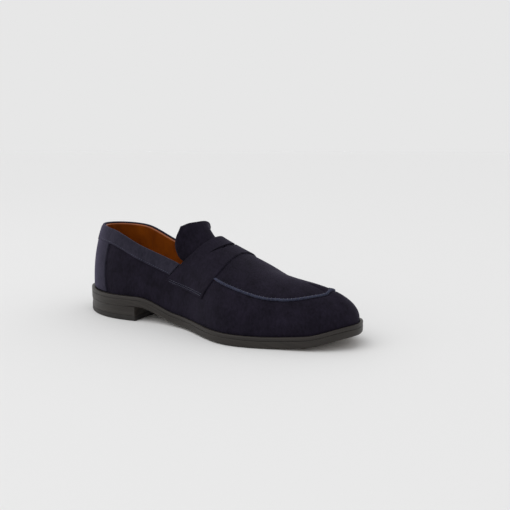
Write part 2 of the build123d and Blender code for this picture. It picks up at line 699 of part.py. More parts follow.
def build():
    """All the sub-parts, by name."""
    parts = {
        "outsole": outsole(), "welt": welt(), "vamp_wall": vamp_wall(),
        "apron": apron_panel(UPPER, 0.6), "apron_ridge": seam_ridge(), "apron_stitches": apron_stitches(),
        "saddle_strap": saddle_strap(), "saddle_lining": saddle_lining(), "saddle_stitches": saddle_stitches(),
        "collar_band": panel(collar_front, OVERLAY), "collar_stitches": collar_stitches(),
        "backstay": backstay(), "heel_tab": heel_tab(), "tongue": tongue(), "tongue_lining": tongue_lining()}
    parts.update(heel_parts())
    parts.update(inner_sole_parts())
    parts.update(lining_parts())
    parts.update(stiffener_parts())
    return parts


if __name__ == "__main__":
    os.makedirs("parts", exist_ok=True)
    for name, shape in build().items():
        export_step(shape, f"parts/{name}.step")
        print(f"{name:24s} {shape.volume:10.0f} mm3")
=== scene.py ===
import json
import math

import bmesh
import bpy
import numpy as np
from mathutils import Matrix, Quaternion, Vector


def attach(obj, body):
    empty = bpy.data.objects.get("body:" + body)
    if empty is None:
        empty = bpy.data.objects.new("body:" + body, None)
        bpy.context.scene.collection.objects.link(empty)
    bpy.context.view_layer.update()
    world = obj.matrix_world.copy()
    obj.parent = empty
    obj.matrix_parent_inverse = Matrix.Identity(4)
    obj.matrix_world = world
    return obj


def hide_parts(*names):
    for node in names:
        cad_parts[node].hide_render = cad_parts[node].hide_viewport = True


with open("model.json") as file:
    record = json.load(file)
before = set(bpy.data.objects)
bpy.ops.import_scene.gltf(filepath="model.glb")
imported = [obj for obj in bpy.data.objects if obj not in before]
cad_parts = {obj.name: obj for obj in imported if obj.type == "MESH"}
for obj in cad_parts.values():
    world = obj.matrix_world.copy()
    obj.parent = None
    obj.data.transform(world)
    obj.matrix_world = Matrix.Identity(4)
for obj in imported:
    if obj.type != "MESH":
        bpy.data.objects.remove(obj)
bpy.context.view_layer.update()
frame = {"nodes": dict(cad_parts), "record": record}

# Right-foot suede penny loafer. The form below is in millimetres, in the CAD frame: +X to the toe,
# +Y to the inner side of the foot, +Z up, ground at 0. Meshes are written in metres.
MM = 0.001

# ---------------- dimensions of the form

SOLE_OUTLINE = [                  # edge of the sole in plan, from the toe tip round the inner side
    (150, 3.4), (138, 28.2), (108, 38.2), (60, 54.3), (5, 44.8), (-45, 33.2), (-95, 34.5), (-134, 28.6),
    (-150, 2.8), (-134, -23.2), (-95, -38.4), (-45, -32.4), (0, -37.1), (45, -53.1), (95, -40.7),
    (134, -22.2)]
HALF_LENGTH = 150.0
HEEL_HEIGHT = 14.0                # heel under the outsole
SOLE_BOTTOM = [                   # height of the outsole's underside along the shoe
    (-150, HEEL_HEIGHT), (-64.5, HEEL_HEIGHT), (-20, 2.8), (30, 0.3), (75, 0), (115, 2.4), (150, 10.6)]
OUTSOLE_THICK = 6.6
WELT_THICK = 3.4
EDGE_HEIGHT = OUTSOLE_THICK + WELT_THICK + 0.1
# How far the welt stands out beyond the upper.
WELT_REACH = [(-150, 4.5), (-90, 4.5), (-30, 2.3), (40, 2.7), (110, 2.8), (150, 3.2)]
HEEL_FRONT = -65.0                # the heel's breast
HEEL_HOLLOW = 2.0                 # how far the breast curves back in its middle
HEEL_MIDDLE = -107.0              # the heel's flat faces close towards this station
HEEL_WAIST = 0.55                 # how far the stack draws in halfway up
JOINT_DEPTH, JOINT_WIDTH = 0.07, 0.1  # groove between two lifts
CORNER_DEPTH, CORNER_HEIGHT = 0.10, 0.3  # rounding at the foot of the stack
TOP_PIECE_THICK = 5.2             # rubber under the heel
LIFT_COUNT = 3
GAP = 0.06                        # glue line between stacked sole layers
SOLE_BEVEL = [(-150, .1), (-80, .1), (-50, 1), (150, 1)]  # width of the lower corner's bevel

RIDGE_FRONT, RIDGE_BACK = 100.5, -95.0  # the form's crest runs between these stations
RIDGE_HEIGHT = [
    (-150, 121.7), (-95, 119.3), (-40, 112.8), (-12, 94.4), (13, 79.5), (40, 66.4), (65, 55.9), (100, 50.1)]
RIDGE_SIDE_SHIFT = 2.7            # how far the crest leans to the inner side at the toe
# Shape of each cross row, from the toe (0) to the heel (1): rise of the wall, its belly, and the crown.
WALL_RISE = {-1: [(0, .50), (.2, .41), (.4, .45), (.6, .43), (.8, .63), (1, .64)],
             1: [(0, .50), (.2, .53), (.4, .60), (.6, .45), (.8, .59), (1, .64)]}
WALL_BELLY = {-1: [(0, 1.6), (.2, 4.0), (.4, 7.6), (.6, 2.5), (.8, 3.7), (1, 0)],
              1: [(0, 1.6), (.2, 4.0), (.4, 3.1), (.6, 3.0), (.8, 7.7), (1, 0)]}
CROWN = {-1: [(0, .55), (.2, .69), (.4, .55), (.6, .47), (.8, .45), (1, .45)],
         1: [(0, .55), (.2, .62), (.4, .53), (.6, .47), (.8, .45), (1, .45)]}
TOPLINE_HEIGHT = [(-150, 90.1), (-100, 87.0), (-60, 73.0), (-15, 58.3)]
APRON_SEAM = {-1: [(0, .69), (.1, .61), (.2, .53), (.41, .50)],
              1: [(0, .69), (.1, .60), (.2, .49), (.41, .49)]}
SEAM_REAR = 0.43                  # the apron runs this far back, to under the saddle
TOPLINE_FRONT = 0.56              # the foot opening starts here
TOPLINE_BLEND = 0.37              # from here back the wall's top edge leaves the seam
RIDGE_END = 0.418                 # the seam's raised edge ends here
STITCHES_END = 0.398              # and its hand stitches here
COLLAR_WIDTH = 14.3
COLLAR_PUFF = 0.35                # the band's padding, in its middle
COLLAR_STITCHES = 0.105           # its stitches run at this share of the width

# Layers of the upper, measured outward from the leather's outer face: (inner face, outer face).
UPPER = (-1.5, 0.0)
OVERLAY = (0.25, 1.5)
TAB = (1.6, 2.7)
OVERLAY_ROUND, TAB_ROUND = 0.9, 0.7  # radii of their rolled edges

SADDLE_REAR = [(.2, .615), (.225, .610), (.425, .565), (.606, .525), (.888, .489), (1, .484)]
SADDLE_FRONT = [(.2, .455), (.256, .448), (.469, .415), (.65, .392), (.856, .374), (1, .362)]
SADDLE_LOW_REAR, SADDLE_LOW_FRONT = .225, .256
UNDERLAY_FRONT = 0.437            # the lining under the saddle reaches this far forward
SLOT_HALF_LENGTH, SLOT_WIDTH, SLOT_BOW = 22.0, 4.0, 5.4
SLOT_CENTRE = (13.6, 1.5, 76.0)
SLOT_SLOPE = 0.5                  # the saddle's fall towards the toe at its slot
CUTTER_HALF = 25.0                # half the height of the body that cuts the slot

# Tongue, outer face: rows from under the saddle to the free top, points from the middle to one edge.
TONGUE_OUTER = [
    [(17, 0, 72.3), (18, 11, 70.2), (20, 21.5, 63.5), (21.5, 29.5, 55.0)],
    [(9, 0, 76.9), (9.5, 10.5, 74.2), (8.5, 19.0, 67.2), (6.5, 25.0, 56.0)],
    [(1.5, 0, 82.9), (-0.5, 9.5, 80.0), (-4.5, 16.2, 71.5), (-9.5, 19.2, 57.0)],
    [(-5.3, 0, 91.2), (-7.3, 9.5, 89.0), (-13.8, 18.6, 80.0), (-21.8, 22.8, 65.0)],
    [(-8.8, 0, 96.0), (-10.3, 9.5, 95.0), (-15.3, 19.5, 90.2), (-22.3, 26.6, 80.2)],
    [(-10.3, 0, 98.0), (-11.3, 8.0, 97.8), (-14.3, 16.0, 96.8), (-18.3, 23.0, 93.9)]]
TONGUE_INNER = TONGUE_OUTER[:3] + [
    [(-5.3, 0, 91.2), (-7.0, 7.9, 89.2), (-12.0, 15.6, 80.5), (-18.0, 20.6, 66.0)],
    [(-8.8, 0, 96.0), (-9.5, 7.7, 95.0), (-12.5, 15.4, 89.3), (-17.0, 21.4, 79.5)],
    [(-10.3, 0, 98.0), (-10.6, 6.8, 97.2), (-11.4, 13.4, 94.6), (-13.6, 18.8, 90.0)]]
TONGUE_SIDE = 1.4                 # the tongue's middle stands this far to the inner side
TONGUE_THICK, TONGUE_LINING_THICK = 1.4, 0.9

STATIONS = 201                    # rows of the form from toe to heel, on each side
CREST_EASE = 0.1                  # the crest's points bunch up over this share at both ends
PI = math.pi


# ---------------- curves

def hermite(a, b, slope_a, slope_b, step, r):
    """Cubic from a to b over one step, at the share r of it."""
    return (a * (2 * r**3 - 3 * r**2 + 1) + step * slope_a * (r**3 - 2 * r**2 + r)
            + b * (3 * r**2 - 2 * r**3) + step * slope_b * (r**3 - r**2))


def through(a, b, c, d, r):
    """Smooth curve from b to c at the share r, with a before and d after them."""
    return b + .5 * r * (c - a + r * (2 * a - 5 * b + 4 * c - d + r * (3 * (b - c) + d - a)))


def running(points):
    """Length run along each line of points."""
    steps = np.linalg.norm(np.diff(points, axis=-2), axis=-1)
    return np.concatenate([np.zeros(steps.shape[:-1] + (1,)), np.cumsum(steps, -1)], -1)


def profile(x, knots, flat=False):
    """Monotone cubic through (position, value) knots, level at both ends if flat."""
    xs, ys = np.array(knots, float).T
    x = np.asarray(x, float)
    h = np.diff(xs)
    d = np.diff(ys) / h
    m = np.zeros(len(xs))
    if not flat:
        m[0], m[-1] = d[0], d[-1]
    same = d[:-1] * d[1:] > 0
    w1 = 2 * h[1:] + h[:-1]
    w2 = h[1:] + 2 * h[:-1]
    before = np.where(same, d[:-1], 1.0)
    after = np.where(same, d[1:], 1.0)
    m[1:-1] = np.where(same, (w1 + w2) / (w1 / before + w2 / after), 0.0)
    i = np.clip(np.searchsorted(xs, x) - 1, 0, len(h) - 1)
    r = np.clip((x - xs[i]) / h[i], 0.0, 1.0)
    return hermite(ys[i], ys[i + 1], m[i], m[i + 1], h[i], r)


def closed_curve(points, count):
    """Evenly spread samples of the smooth closed cubic through the points."""
    p = np.array(points, float)
    n = len(p)
    h = np.linalg.norm(np.roll(p, -1, 0) - p, axis=1)
    system = np.zeros((n, n))
    right = np.zeros((n, 2))
    for i in range(n):
        a, b = h[i - 1], h[i]
        j, k = (i - 1) % n, (i + 1) % n
        system[i, j] += 1 / a
        system[i, i] += 2 * (1 / a + 1 / b)
        system[i, k] += 1 / b
        right[i] = 3 * ((p[i] - p[j]) / a**2 + (p[k] - p[i]) / b**2)
    m = np.linalg.solve(system, right)
    start = np.concatenate([[0], np.cumsum(h)])
    c = np.linspace(0, start[-1], count, endpoint=False)
    i = np.clip(np.searchsorted(start, c, side="right") - 1, 0, n - 1)
    k = (i + 1) % n
    r = ((c - start[i]) / h[i])[:, None]
    return hermite(p[i], p[k], m[i], m[k], h[i][:, None], r)


def sole_bottom(x):
    """Height of the outsole's underside."""
    return profile(x, SOLE_BOTTOM, flat=True)


def outward(line):
    """Unit normals that point out of a closed plan line."""
    travel = np.roll(line, -1, 0) - np.roll(line, 1, 0)
    travel /= np.linalg.norm(travel, axis=1)[:, None]
    return np.column_stack([travel[:, 1], -travel[:, 0]])


RING = closed_curve(SOLE_OUTLINE, 2400)
OUTWARD = outward(RING)


# ---------------- the foot form

def form_table():
    """Four control points of each cross row: heel (w = -1), outer side, toe (0), inner side, heel (1)."""
    foot_ring = RING - OUTWARD * profile(RING[:, 0], WELT_REACH)[:, None]
    heel = int(np.argmin(RING[:, 0]))
    s = np.linspace(0, 1, STATIONS)
    ease = np.sin(np.clip(s / CREST_EASE, 0, 1) * np.clip((1 - s) / CREST_EASE, 0, 1) * PI / 2) ** 2
    spread = np.concatenate([[0], np.cumsum((ease[1:] + ease[:-1]) / 2)])
    spread /= spread[-1]
    sides = []
    for side in (-1, 1):
        line = foot_ring[:heel + 1] if side > 0 else np.concatenate([foot_ring[heel:], foot_ring[:1]])[::-1]
        run = running(line)
        run /= run[-1]
        foot = np.stack([np.interp(s, run, line[:, 0]), np.interp(s, run, line[:, 1])], 1)
        foot = np.column_stack([foot, sole_bottom(foot[:, 0]) + EDGE_HEIGHT])
        x = RIDGE_FRONT + (RIDGE_BACK - RIDGE_FRONT) * spread
        slope = profile(x + .5, RIDGE_HEIGHT) - profile(x - .5, RIDGE_HEIGHT)
        slope[0] = slope[1]
        y = RIDGE_SIDE_SHIFT * (x + HALF_LENGTH) / (2 * HALF_LENGTH)
        ridge = np.column_stack([x, y, profile(x, RIDGE_HEIGHT)])
        way = ridge - foot
        length = np.linalg.norm(way[:, :2], axis=1)
        d = way[:, :2] / length[:, None]
        belly = profile(s, WALL_BELLY[side], flat=True)
        rise = profile(s, WALL_RISE[side], flat=True)
        crown = profile(s, CROWN[side], flat=True) * length
        low = foot + np.column_stack([-d * belly[:, None], rise * way[:, 2]])
        high = ridge - np.column_stack([d * crown[:, None], slope * d[:, 0] * crown])
        sides.append(np.stack([foot, low, high, ridge], 1))
    return np.concatenate([sides[0][::-1], sides[1][1:-1]])


FORM = form_table()
STEP = 2e-3                       # half the span over which slopes of the form are taken


def control_points(w):
    """Smoothly interpolated control points of the row at w; w wraps round at the heel."""
    n = len(FORM)
    c = (np.asarray(w, float) + 1) / 2 * n
    i = np.floor(c).astype(int)
    r = (c - i)[..., None, None]
    return through(FORM[(i - 1) % n], FORM[i % n], FORM[(i + 1) % n], FORM[(i + 2) % n], r)


def base(w, t):
    """Point of the form: w round the shoe, t up from the welt (0) to the crest (1)."""
    p = control_points(w)
    t = np.asarray(t, float)[..., None]
    u = 1 - t
    return (u**3 * p[..., 0, :] + 3 * u * u * t * p[..., 1, :]
            + 3 * u * t * t * p[..., 2, :] + t**3 * p[..., 3, :])


def skin(w, t, off=0.0):
    """The form's point moved outward by off."""
    w, t = np.broadcast_arrays(np.asarray(w, float), np.asarray(t, float))
    wide = np.where(np.abs(w) < 2 * STEP, np.where(w < 0, -2 * STEP, 2 * STEP), w)
    high = np.minimum(t, .997)    # rows meet at the crest, so its slopes are taken just below it
    along = base(wide + STEP, high) - base(wide - STEP, high)
    up = base(wide, high + STEP) - base(wide, high - STEP)
    n = np.cross(along, up)
    n /= np.linalg.norm(n, axis=-1)[..., None]
    return base(w, t) + n * np.asarray(off, float)[..., None]


def seam_t(w):
    """Height parameter of the apron's seam."""
    outer, inner = (profile(np.abs(w), APRON_SEAM[side], flat=True) for side in (-1, 1))
    return np.where(np.asarray(w) < 0, outer, inner)


def height_t(w, height):
    """Height parameter at which each row reaches the given height profile."""
    t = np.linspace(0.02, 0.9, 221)
    found = []
    for one in np.atleast_1d(w):
        row = base(np.full(len(t), one), t)
        over = row[:, 2] - height(row[:, 0])
        i = max(int(np.argmax(over > 0)), 1)
        found.append(t[i - 1] + (t[i] - t[i - 1]) * over[i - 1] / (over[i - 1] - over[i]))
    return np.array(found)


def topline(x):
    """Height of the foot opening's edge."""
    return profile(x, TOPLINE_HEIGHT)


TOP_W = np.linspace(-1, 1, 401)
OPENING_W = np.where(TOP_W < 0, -1, 1) * np.maximum(np.abs(TOP_W), TOPLINE_FRONT)
REACHED = np.clip((np.abs(TOP_W) - TOPLINE_BLEND) / (TOPLINE_FRONT - TOPLINE_BLEND), 0, 1)
SHARE = REACHED * REACHED * (3 - 2 * REACHED)
TOP_T = (1 - SHARE) * seam_t(TOP_W) + SHARE * height_t(OPENING_W, topline)


def top_t(w):
    """Height parameter of the wall's top edge: the apron's seam, then the foot opening."""
    wrapped = (np.asarray(w, float) + 1) % 2 - 1
    return np.interp(wrapped, TOP_W, TOP_T)


def net_grid(outer_half, inner_half, u, v):
    """Smooth surface through two half nets of points, sampled at u by v parameters from 0 to 1."""
    def along(points, s):
        n = len(points)
        padded = np.concatenate([2 * points[:1] - points[1:2], points, 2 * points[-1:] - points[-2:-1]])
        c = np.clip(s, 0, 1) * (n - 1)
        i = np.minimum(np.floor(c).astype(int), n - 2)
        r = (c - i)[:, None, None]
        return through(padded[i], padded[i + 1], padded[i + 2], padded[i + 3], r)

    outer_side = np.array(outer_half, float)[:, :0:-1] * np.array([1, -1, 1])
    full = np.concatenate([outer_side, np.array(inner_half, float)], 1)
    rows = along(full, u)
    return along(rows.transpose(1, 0, 2), v).transpose(1, 0, 2)


# ---------------- meshes

THREAD_SIDES = 6
ASKEW = (0.3, 0.5, 0.8)           # a direction that no stitch runs in


def steps_with_edges(count, length, radius):
    """Parameters from 0 to 1, close together over a rounded edge's radius at both ends."""
    near = radius / length * np.array([0, .03, .12, .28, .5, .75, 1.0])
    middle = np.linspace(near[-1], 1 - near[-1], count)[1:-1]
    return np.concatenate([near, middle, 1 - near[::-1]])


def edge_distance(points):
    """Distance in mm of each grid point to the nearest side of the grid, along its rows and columns."""
    def both_ways(p):
        run = running(p)
        return np.minimum(run, run[:, -1:] - run)

    return np.minimum(both_ways(points), both_ways(points.transpose(1, 0, 2)).T)


def rounded_face(distance, layer, radius):
    """Offset of a panel's outer face, rolled down over its edge."""
    d = 1 - np.clip(distance / radius, 0, 1)
    return layer[1] - radius * (1 - np.sqrt(1 - d * d))


def shell(outer, inner, wrap=False, last_side=True):
    """Vertices and faces of the body between two grids of points, walled at their sides.

    wrap joins the last row to the first; last_side=False leaves the last column open, where it meets itself.
    """
    n, m = outer.shape[:2]
    a = np.arange(n * m).reshape(n, m)
    b = a + n * m
    rows = n if wrap else n - 1
    i = np.arange(rows)
    k = (i + 1) % n
    faces = []

    def quads(p, q, r, s):
        faces.append(np.stack([p.ravel(), q.ravel(), r.ravel(), s.ravel()], 1))

    quads(a[i, :-1], a[k, :-1], a[k, 1:], a[i, 1:])
    quads(b[i, :-1], b[i, 1:], b[k, 1:], b[k, :-1])
    quads(a[i, 0], b[i, 0], b[k, 0], a[k, 0])
    if last_side:
        quads(a[i, -1], a[k, -1], b[k, -1], b[i, -1])
    if not wrap:
        quads(a[0, :-1], a[0, 1:], b[0, 1:], b[0, :-1])
        quads(a[-1, :-1], b[-1, :-1], b[-1, 1:], a[-1, 1:])
    return np.concatenate([outer.reshape(-1, 3), inner.reshape(-1, 3)]), np.concatenate(faces)


def new_mesh(name, vertices, faces):
    """Mesh from vertices in mm and lists of corners."""
    mesh = bpy.data.meshes.new(name)
    mesh.from_pydata((vertices * MM).tolist(), [], faces)
    return mesh


def new_object(name, data):
    """Object in the scene."""
    obj = bpy.data.objects.new(name, data)
    bpy.context.scene.collection.objects.link(obj)
    return obj


def turn_outward(mesh, merge=0.0):
    """Joins vertices closer than merge mm, and turns all faces of the closed mesh outward."""
    work = bmesh.new()
    work.from_mesh(mesh)
    if merge:
        bmesh.ops.remove_doubles(work, verts=work.verts, dist=merge * MM)
    bmesh.ops.recalc_face_normals(work, faces=work.faces)
    work.to_mesh(mesh)
    work.free()


def add_piece(name, mesh, material, nodes):
    """Object of the shoe from its mesh, riding on the one body and standing for the named CAD nodes."""
    mesh.materials.append(MATERIALS[material])
    obj = new_object(name, mesh)
    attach(obj, "root")
    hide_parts(*nodes)
    return obj


def piece(name, vertices, faces, material, nodes, slot=None, uv=None, merge=0.0, sharp=50):
    """Piece from vertices in mm; slot is not used.

    merge joins vertices closer than that, and sharp is the crease angle in degrees.
    """
    mesh = new_mesh(name, vertices, faces.tolist())
    if uv is not None:
        layer = mesh.uv_layers.new(name="edge")
        corner = np.empty(len(mesh.loops), np.int32)
        mesh.loops.foreach_get("vertex_index", corner)
        layer.data.foreach_set("uv", (np.asarray(uv)[corner] * MM).astype(np.float32).ravel())
    if merge:
        turn_outward(mesh, merge)
    mesh.shade_smooth()
    mesh.set_sharp_from_angle(angle=math.radians(sharp))
    return add_piece(name, mesh, material, nodes)


def panel(name, w, t, layer, radius, under, material, node, puff=0.0, **options):
    """Piece on the form from the offset under to its layer's outer face, rolled over at its edges."""
    face = rounded_face(edge_distance(base(w, t)), layer, radius) + puff
    vertices, faces = shell(skin(w, t, face), skin(w, t, under))
    return piece(name, vertices, faces, material, [node], **options)


def strands(paths, radius):
    """Vertices and faces of short threads with tapered ends; paths is (threads, points, 3)."""
    paths = np.asarray(paths, float)
    count, length = paths.shape[:2]
    way = np.gradient(paths, axis=1)
    way /= np.linalg.norm(way, axis=2)[..., None]
    lean = np.cross(paths[:, -1] - paths[:, 0], ASKEW)
    side = lean[:, None, :] - (lean[:, None, :] * way).sum(2)[..., None] * way
    side /= np.linalg.norm(side, axis=2)[..., None]
    other = np.cross(way, side)
    taper = radius * np.sin(np.linspace(0.12, 0.88, length) * PI) ** 0.45
    turn = np.linspace(0, 2 * PI, THREAD_SIDES, endpoint=False)
    ring = np.cos(turn)[:, None] * side[:, :, None, :] + np.sin(turn)[:, None] * other[:, :, None, :]
    vertices = paths[:, :, None, :] + ring * taper[None, :, None, None]
    index = np.arange(count * length * THREAD_SIDES).reshape(count, length, THREAD_SIDES)
    following = np.roll(index, -1, 2)
    quads = np.stack([index[:, :-1], following[:, :-1], following[:, 1:], index[:, 1:]], -1).reshape(-1, 4)
    return vertices.reshape(-1, 3), quads.tolist() + index[:, 0, ::-1].tolist() + index[:, -1].tolist()


def thread_piece(name, paths, radius, node):
    """Piece made of many short threads."""
    vertices, faces = strands(paths, radius)
    mesh = new_mesh(name, vertices, faces)
    mesh.shade_smooth()
    add_piece(name, mesh, "thread_blue", [node])


# ---------------- materials

class Nodes:
    """Small helper that builds one material's node tree."""

    def __init__(self, name, roughness, **constants):
        self.material = bpy.data.materials.new(name)
        self.material.use_nodes = True
        self.tree = self.material.node_tree
        self.shader = self.tree.nodes["Principled BSDF"]
        self.shader.inputs["Roughness"].default_value = roughness
        for key, value in constants.items():
            self.shader.inputs[key.replace("_", " ")].default_value = value

    def feed(self, socket, value):
        """Links an output to the socket, or sets the socket's own value."""
        if isinstance(value, bpy.types.NodeSocket):
            self.tree.links.new(value, socket)
        else:
            socket.default_value = value

    def add(self, kind, **inputs):
        """New node with its inputs, by name."""
        node = self.tree.nodes.new(kind)
        for key, value in inputs.items():
            self.feed(node.inputs[key.replace("_", " ")], value)
        return node

    def place(self, scale=(1, 1, 1), uv=False):
        """Coordinates in metres, stretched by scale."""
        source = self.add("ShaderNodeTexCoord").outputs["UV" if uv else "Object"]
        return self.add("ShaderNodeMapping", Vector=source, Scale=scale).outputs[0]

    def noise(self, where, scale, detail=3.0, roughness=0.55):
        """Fractal noise at a scale in cells per unit of the coordinates."""
        node = self.add("ShaderNodeTexNoise", Vector=where, Scale=scale, Detail=detail, Roughness=roughness)
        return node.outputs[0]

    def ramp(self, value, stops):
        """Colour between two (value, colour) stops."""
        node = self.add("ShaderNodeValToRGB", Fac=value)
        for element, (position, colour) in zip(node.color_ramp.elements, stops):
            element.position = position
            element.color = (*colour, 1)
        return node.outputs[0]

    def mix(self, factor, socket, colour):
        """The socket's colour, mixed with a fixed colour by a factor."""
        node = self.tree.nodes.new("ShaderNodeMix")
        node.data_type = "RGBA"
        for index, value in ((0, factor), (6, socket), (7, (*colour, 1))):
            self.feed(node.inputs[index], value)
        return node.outputs[2]

    def math(self, operation, a, b):
        """Two values put together."""
        node = self.tree.nodes.new("ShaderNodeMath")
        node.operation = operation
        for index, value in enumerate((a, b)):
            self.feed(node.inputs[index], value)
        return node.outputs[0]

    def blend(self, *parts):
        """Sum of (socket, weight) parts."""
        total = None
        for socket, weight in parts:
            weighted = self.math("MULTIPLY", socket, weight)
            total = weighted if total is None else self.math("ADD", total, weighted)
        return total

    def bump(self, *layers):
        """Bump from (height socket, depth in mm, strength) layers."""
        normal = None
        for height, depth, strength in layers:
            node = self.add("ShaderNodeBump", Height=height, Distance=depth * MM, Strength=strength)
            if normal is not None:
                self.feed(node.inputs["Normal"], normal)
            normal = node.outputs[0]
        self.feed(self.shader.inputs["Normal"], normal)

    def colour(self, socket):
        """The finished material, with this base colour."""
        self.feed(self.shader.inputs["Base Color"], socket)
        return self.material


def suede(name, dark, light, sheen):
    """Napped suede: mottled nap, fine fibres and a soft sheen."""
    n = Nodes(name, 0.93, Sheen_Weight=sheen, Sheen_Roughness=0.42, Sheen_Tint=(0.56, 0.50, 0.84, 1),
              Specular_IOR_Level=0.16)
    where = n.place()
    patches = n.noise(where, 70, detail=4.0, roughness=0.6)
    strokes = n.noise(n.place((520, 520, 230)), 1.0, detail=4.0, roughness=0.65)
    fibres = n.noise(where, 2600, detail=2.0, roughness=0.6)
    mottle = n.blend((patches, 0.42), (strokes, 0.42), (fibres, 0.26))
    n.bump((n.noise(where, 420), 0.30, 0.45), (strokes, 0.18, 0.4), (fibres, 0.09, 0.6))
    return n.colour(n.ramp(mottle, [(0.42, dark), (0.68, light)]))


def smooth_leather(name, dark, light, roughness=0.42):
    """Fine-grained leather with slight creases."""
    n = Nodes(name, roughness, Coat_Weight=0.12, Coat_Roughness=0.35, Specular_IOR_Level=0.45)
    where = n.place()
    cells = n.add("ShaderNodeTexVoronoi", Vector=where, Scale=1500).outputs["Distance"]
    tone = n.noise(where, 45, detail=4.0)
    creases = n.noise(n.place((160, 160, 60)), 1.0, detail=5.0)
    even = n.ramp(n.blend((tone, 0.6), (creases, 0.4)), [(0.34, dark), (0.68, light)])
    n.bump((creases, 0.25, 0.25), (cells, 0.05, 0.5))
    return n.colour(n.mix(n.math("MULTIPLY", cells, 0.22), even, dark))


def stacked_edge(name, dark, light):
    """Stained and waxed cut leather edge, with fine lines along its layers."""
    n = Nodes(name, 0.48, Coat_Weight=0.06, Coat_Roughness=0.30, Specular_IOR_Level=0.35)
    lines = n.noise(n.place((28, 2600, 1), uv=True), 1.0, detail=4.0, roughness=0.65)
    wide = n.noise(n.place((16, 330, 1), uv=True), 1.0, roughness=0.5)
    specks = n.noise(n.place(), 1400, detail=2.0)
    n.bump((lines, 0.05, 0.45), (specks, 0.03, 0.4))
    tone = n.blend((lines, 0.50), (wide, 0.38), (specks, 0.14))
    return n.colour(n.ramp(tone, [(0.36, dark), (0.68, light)]))


def rubber(name, dark, light):
    """Moulded rubber with a fine grain."""
    n = Nodes(name, 0.55, Specular_IOR_Level=0.4)
    where = n.place()
    fine = n.noise(where, 2400, detail=2.0)
    n.bump((fine, 0.04, 0.5))
    tone = n.blend((n.noise(where, 80, detail=4.0), 0.7), (fine, 0.3))
    return n.colour(n.ramp(tone, [(0.35, dark), (0.68, light)]))


def thread(name, dark, light):
    """Twisted sewing thread."""
    n = Nodes(name, 0.75, Sheen_Weight=0.35, Sheen_Roughness=0.4, Specular_IOR_Level=0.3)
    twist = n.noise(n.place((900, 900, 2600)), 1.0, detail=2.0)
    n.bump((twist, 0.08, 0.6))
    return n.colour(n.ramp(twist, [(0.35, dark), (0.7, light)]))


def granular(name, dark, light, scale):
    """Pressed cork, board or foam."""
    n = Nodes(name, 0.8)
    cells = n.add("ShaderNodeTexVoronoi", Vector=n.place(), Scale=scale).outputs["Distance"]
    n.bump((cells, 0.15, 0.6))
    return n.colour(n.ramp(cells, [(0.1, dark), (0.7, light)]))


def steel(name):
    """Plain steel with fine drawing marks."""
    n = Nodes(name, 0.38, Metallic=1.0)
    marks = n.noise(n.place((60, 2500, 2500)), 1.0)
    n.bump((marks, 0.01, 0.4))
    return n.colour(n.ramp(marks, [(0.3, (0.45, 0.45, 0.46)), (0.7, (0.62, 0.62, 0.63))]))


MATERIALS = {name: build(name, *looks) for name, build, *looks in [
    ("suede_navy", suede, (0.0026, 0.0016, 0.0050), (0.0118, 0.0090, 0.0185), 0.075),
    ("suede_collar", suede, (0.0100, 0.0092, 0.0165), (0.0260, 0.0235, 0.0370), 0.20),
    # The raised edge's suede is the navy suede with a lighter, bluer base colour: a painted highlight where
    # the raised edge catches the light. Its higher sheen weight is real shader sheen.
    ("suede_edge", suede, (0.0170, 0.0190, 0.0360), (0.0430, 0.0490, 0.0800), 0.28),
    ("lining_tan", smooth_leather, (0.150, 0.030, 0.0004), (0.330, 0.080, 0.0020)),
    ("sole_leather", stacked_edge, (0.0075, 0.0055, 0.0042), (0.0300, 0.0240, 0.0200)),
    ("welt_leather", stacked_edge, (0.0085, 0.0064, 0.0050), (0.0320, 0.0260, 0.0220)),
    ("sole_bottom", smooth_leather, (0.085, 0.055, 0.032), (0.17, 0.12, 0.075), 0.5),
    ("rubber_heel", rubber, (0.0070, 0.0054, 0.0046), (0.0200, 0.0165, 0.0145)),
    ("thread_blue", thread, (0.018, 0.022, 0.042), (0.050, 0.060, 0.100)),
    ("cork", granular, (0.20, 0.11, 0.05), (0.48, 0.31, 0.17), 700),
    ("board", granular, (0.38, 0.29, 0.20), (0.55, 0.45, 0.33), 1800),
    ("foam", granular, (0.60, 0.55, 0.46), (0.78, 0.73, 0.64), 1500),
    ("steel", steel)]}

# The CAD's own objects get the same materials, on the object and not on its mesh.
for entry in frame["record"]["subparts"]:
    node, material = frame["nodes"][entry["node"]], MATERIALS[entry["material_slot"]]
    if not node.material_slots:
        node.data.materials.append(material)
    for place in node.material_slots:
        place.link = "OBJECT"
        place.material = material


# ---------------- the sole unit

SOLE_EVERY = 4                    # one mesh column for this many samples of the outline
SOLE_RING = RING[::SOLE_EVERY]
SOLE_OUT = OUTWARD[::SOLE_EVERY]
SOLE_RUN = running(SOLE_RING)


def raised(p, height, height_of):
    """Plan points at a height above the ground line that height_of gives under them."""
    return np.column_stack([p, height_of(p[:, 0]) + height])


def swept(ring, out, levels, height_of):
    """Rings of points for (inset, height) levels."""
    insets = ((ring - out * np.reshape(inset, (-1, 1)), height) for inset, height in levels)
    return np.stack([raised(p, height, height_of) for p, height in insets], 1)


def filled(ring, centre, count, height_of, height):
    """Rings that close a plan outline towards a middle line."""
    shares = np.linspace(1, 0, count + 1)[1:]
    return np.stack([raised(centre + (ring - centre) * share, height, height_of) for share in shares], 1)


def block(ring, out, levels, middle, counts, height_of):
    """Swept levels with both faces closed towards a middle line, by counts of rings."""
    side = swept(ring, out, levels, height_of)
    over = filled(side[:, 0, :2], middle, counts[0], height_of, levels[0][1])[:, ::-1]
    under = filled(side[:, -1, :2], middle, counts[1], height_of, levels[-1][1])
    return np.concatenate([over, side, under], 1)


